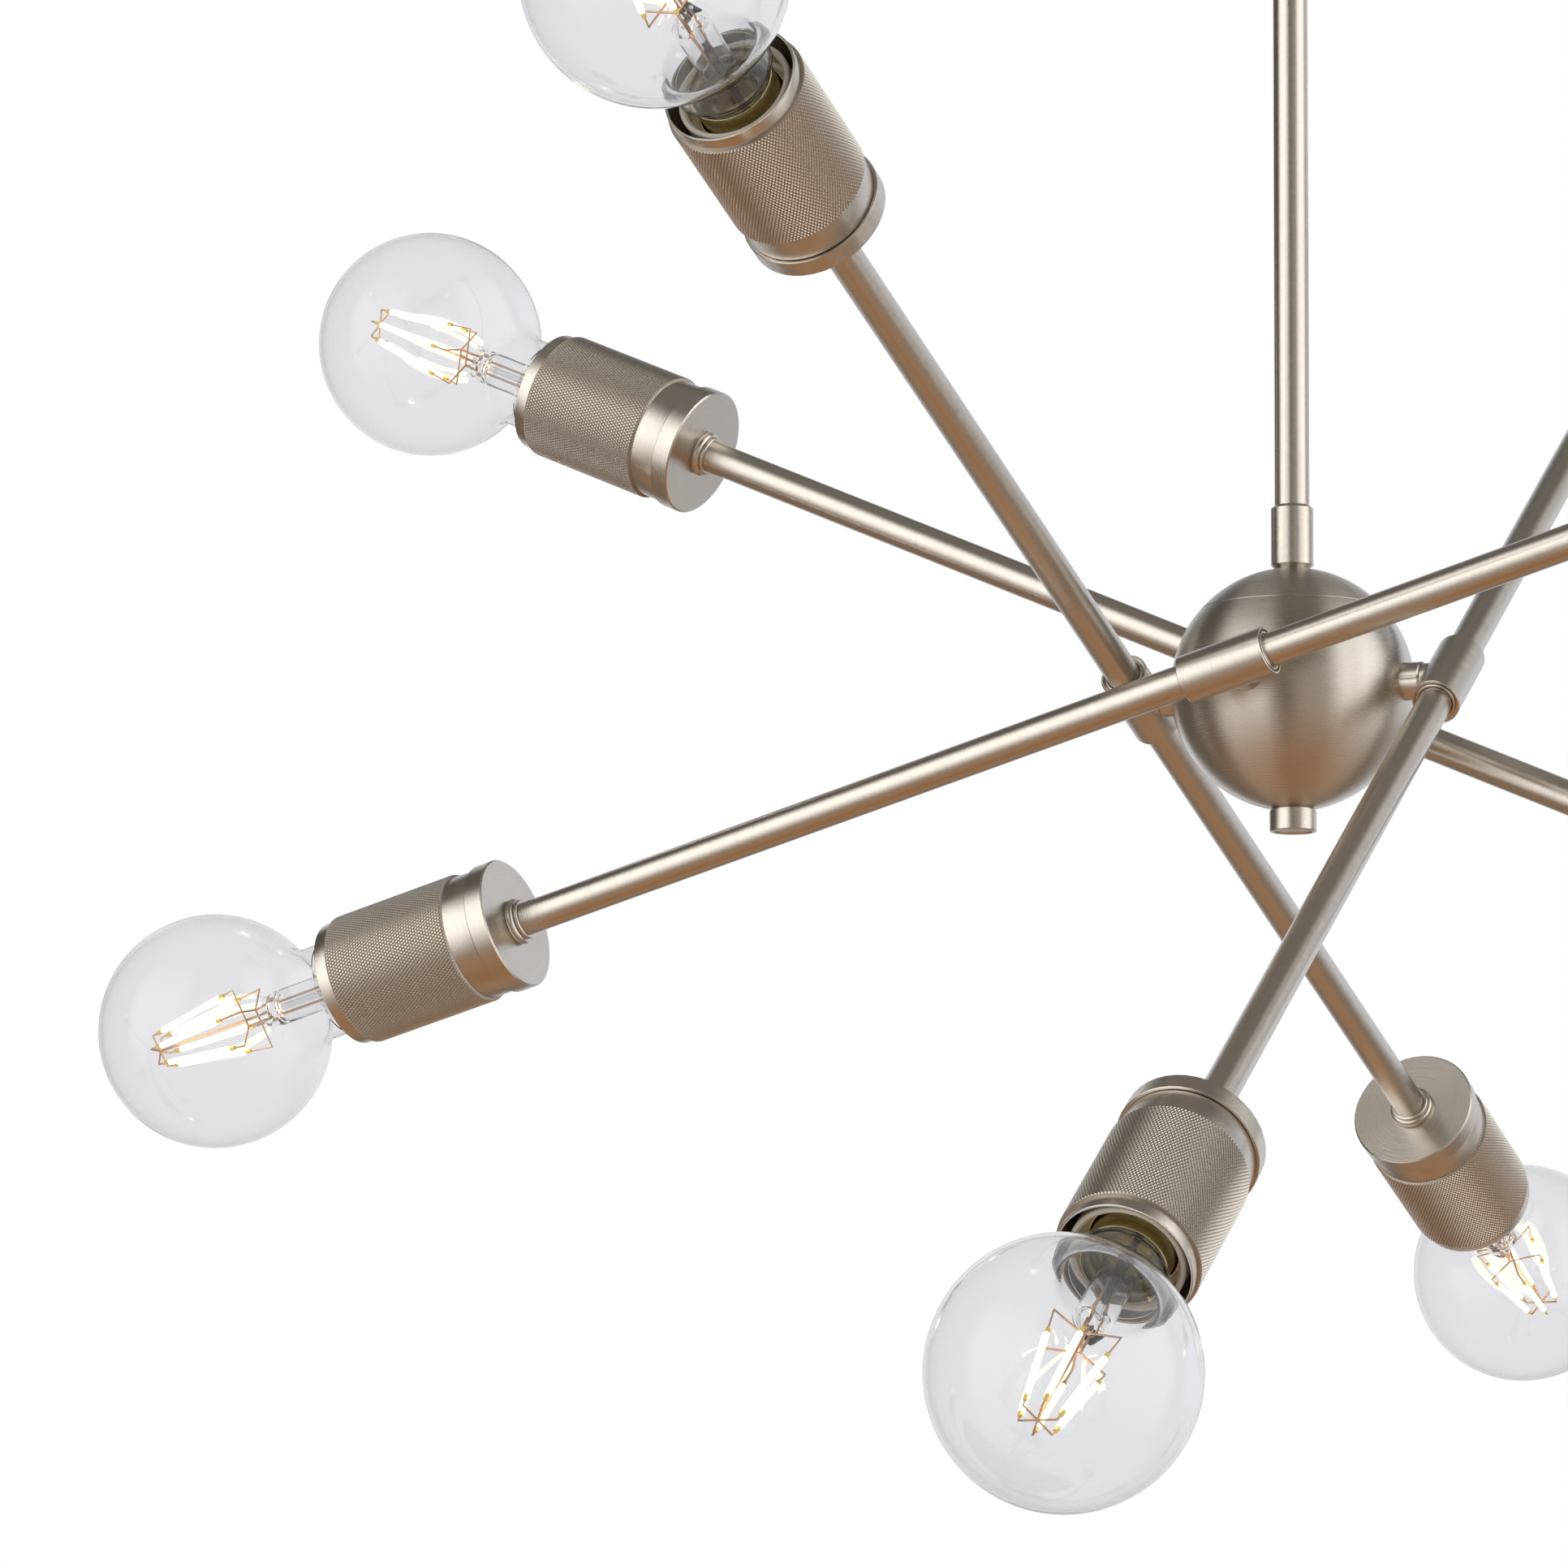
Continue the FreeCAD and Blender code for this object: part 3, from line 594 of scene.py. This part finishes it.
# %% [markdown]
# The stem is a glass tube with a trumpet foot, fused to the globe at its foot and pinched flat round
# the wires at its head. Its skin runs in one go from the pole inside, down round the foot and up to
# the pole outside. The thin exhaust tube, through which the lamp was filled, hangs inside it.

# %% Lamp stems
stems = turned("glass_stems", [
    (1.5, 94.8), (3.6, 94.2), (4.7, 92.8), (5.1, 91.0), (5.1, 68.0), (5.5, 65.0), (6.9, 62.3),
    (10.6, 60.5), (11.6, 60.2), (12.6, 60.2), (12.6, 60.95), (11.4, 60.95), (8.6, 62.0), (7.1, 63.4),
    (6.3, 65.4), (6.0, 68.0), (6.0, 95.0), (5.95, 96.3, 0.82), (5.8, 97.6, 0.52), (5.5, 99.0, 0.41),
    (4.8, 100.1, 0.40), (3.4, 100.8, 0.42), (0, 101.0)], capped=True)
exhaust = turned("exhaust", [(0.8, 52), (1.2, 52), (1.2, 93.5), (0.8, 93.5), (0.8, 52)], around=24)
for thing in (stems, exhaust):
    thing.select_set(True)
bpy.context.view_layer.objects.active = stems
bpy.ops.object.join()
fit_to_arms(stems, "lamp_stems", stem_glass)

# %% [markdown]
# Inside the globe, six straight filaments stand in a slight cone. Each is a thin rod coated in
# phosphor, which glows, with a metal tab at either end. Two wire spiders carry the near ends in
# turn, and a crown on the middle wire joins the far ends.

# %% Filaments
FILAMENTS = 6
FILAMENT_RADIUS = 0.95
FILAMENT_NEAR, FILAMENT_FAR = (10.7, 112.0), (6.3, 140.5)
TAB_LENGTH = 1.8
HUB_HEIGHT = FILAMENT_FAR[1] + 2.6
SPIDER_POSTS = (Vector((-2.3, 0, 103.6)), Vector((2.3, 0, 107.6)))
LEAD_FOOT, CROWN_FOOT = 62.0, 97.0
THIN_WIRE, LEAD_WIRE, WIRE_LAP = 0.7, 0.9, 0.4


def filament_ends(index):
    """Near and far end of one filament of the lamp."""
    turn = math.radians(90 + 360 * index / FILAMENTS)
    return [Vector((math.cos(turn) * radius, math.sin(turn) * radius, height))
            for radius, height in (FILAMENT_NEAR, FILAMENT_FAR)]


def gather(name, pieces):
    """Join pieces into the first one."""
    bpy.ops.object.select_all(action="DESELECT")
    for piece in pieces:
        piece.select_set(True)
    bpy.context.view_layer.objects.active = pieces[0]
    bpy.ops.object.join()
    pieces[0].name = name
    return pieces[0]


def stood_on(pattern, start, end):
    """A copy of a piece drawn up from the origin, stood on start and pointing at end."""
    copy = pattern.copy()
    copy.data = pattern.data.copy()
    turn = (end - start).to_track_quat("Z", "X").to_matrix().to_4x4()
    copy.data.transform(Matrix.Translation(start * MM) @ turn)
    bpy.context.collection.objects.link(copy)
    return copy


filament_length = (filament_ends(0)[1] - filament_ends(0)[0]).length
bar = turned("bar", [
    (0.5, TAB_LENGTH - 0.25), (0.85, TAB_LENGTH), (FILAMENT_RADIUS, TAB_LENGTH + 0.4),
    (FILAMENT_RADIUS, filament_length - TAB_LENGTH - 0.4), (0.85, filament_length - TAB_LENGTH),
    (0.5, filament_length - TAB_LENGTH + 0.25), (0, filament_length - TAB_LENGTH + 0.25)],
    around=16, capped=True)
bars = [stood_on(bar, *filament_ends(index)) for index in range(FILAMENTS)]
bpy.data.objects.remove(bar)
fit_to_arms(gather("glowing_bars", bars), "filaments", glow)

tab = turned("tab", [(0.4, -0.7), (0.74, -0.45), (0.78, TAB_LENGTH - 0.4), (0.6, TAB_LENGTH - 0.1),
                     (0, TAB_LENGTH)], around=12, capped=True)
tabs = [stood_on(tab, start, end) for index in range(FILAMENTS)
        for start, end in (filament_ends(index), filament_ends(index)[::-1])]
bpy.data.objects.remove(tab)
fit_to_arms(gather("filament_tabs", tabs), "filaments", gilt)


def bent_wires(name, routes, thickness):
    """Round wires along straight runs: drawn as open lines, thickened as curves, made a mesh."""
    drawing = bpy.data.curves.new(name, "CURVE")
    drawing.dimensions = "3D"
    drawing.bevel_depth = thickness * MM / 2
    drawing.bevel_resolution = 2
    drawing.use_fill_caps = True
    for route in routes:
        line = drawing.splines.new("POLY")
        line.points.add(len(route) - 1)
        for point, place in zip(line.points, route):
            point.co = (*(place * MM), 1.0)
    wires = bpy.data.objects.new(name, drawing)
    bpy.context.collection.objects.link(wires)
    bpy.ops.object.select_all(action="DESELECT")
    wires.select_set(True)
    bpy.context.view_layer.objects.active = wires
    bpy.ops.object.convert(target="MESH")
    return bpy.context.object


routes = []
for index in range(FILAMENTS):
    near, far = filament_ends(index)
    along = (far - near).normalized()
    post = SPIDER_POSTS[index % 2]
    elbow = near - along * ((near.z - post.z) / along.z)
    knee = far + along * ((HUB_HEIGHT - far.z) / along.z)
    routes.append([post, elbow, near + along * WIRE_LAP])
    routes.append([Vector((0, 0, HUB_HEIGHT)), knee, far - along * WIRE_LAP])
thin_wires = bent_wires("thin_wires", routes, THIN_WIRE)
lead_routes = [[Vector((post.x, 0, LEAD_FOOT)), post] for post in SPIDER_POSTS]
lead_routes.append([Vector((0, 0, CROWN_FOOT)), Vector((0, 0, HUB_HEIGHT))])
lead_wires = bent_wires("lead_wires", lead_routes, LEAD_WIRE)
fit_to_arms(gather("lamp_wires", [thin_wires, lead_wires]), "filaments", copper)

# %% [markdown]
# The last cell takes up the json module once more.

# %% The json module again
import json
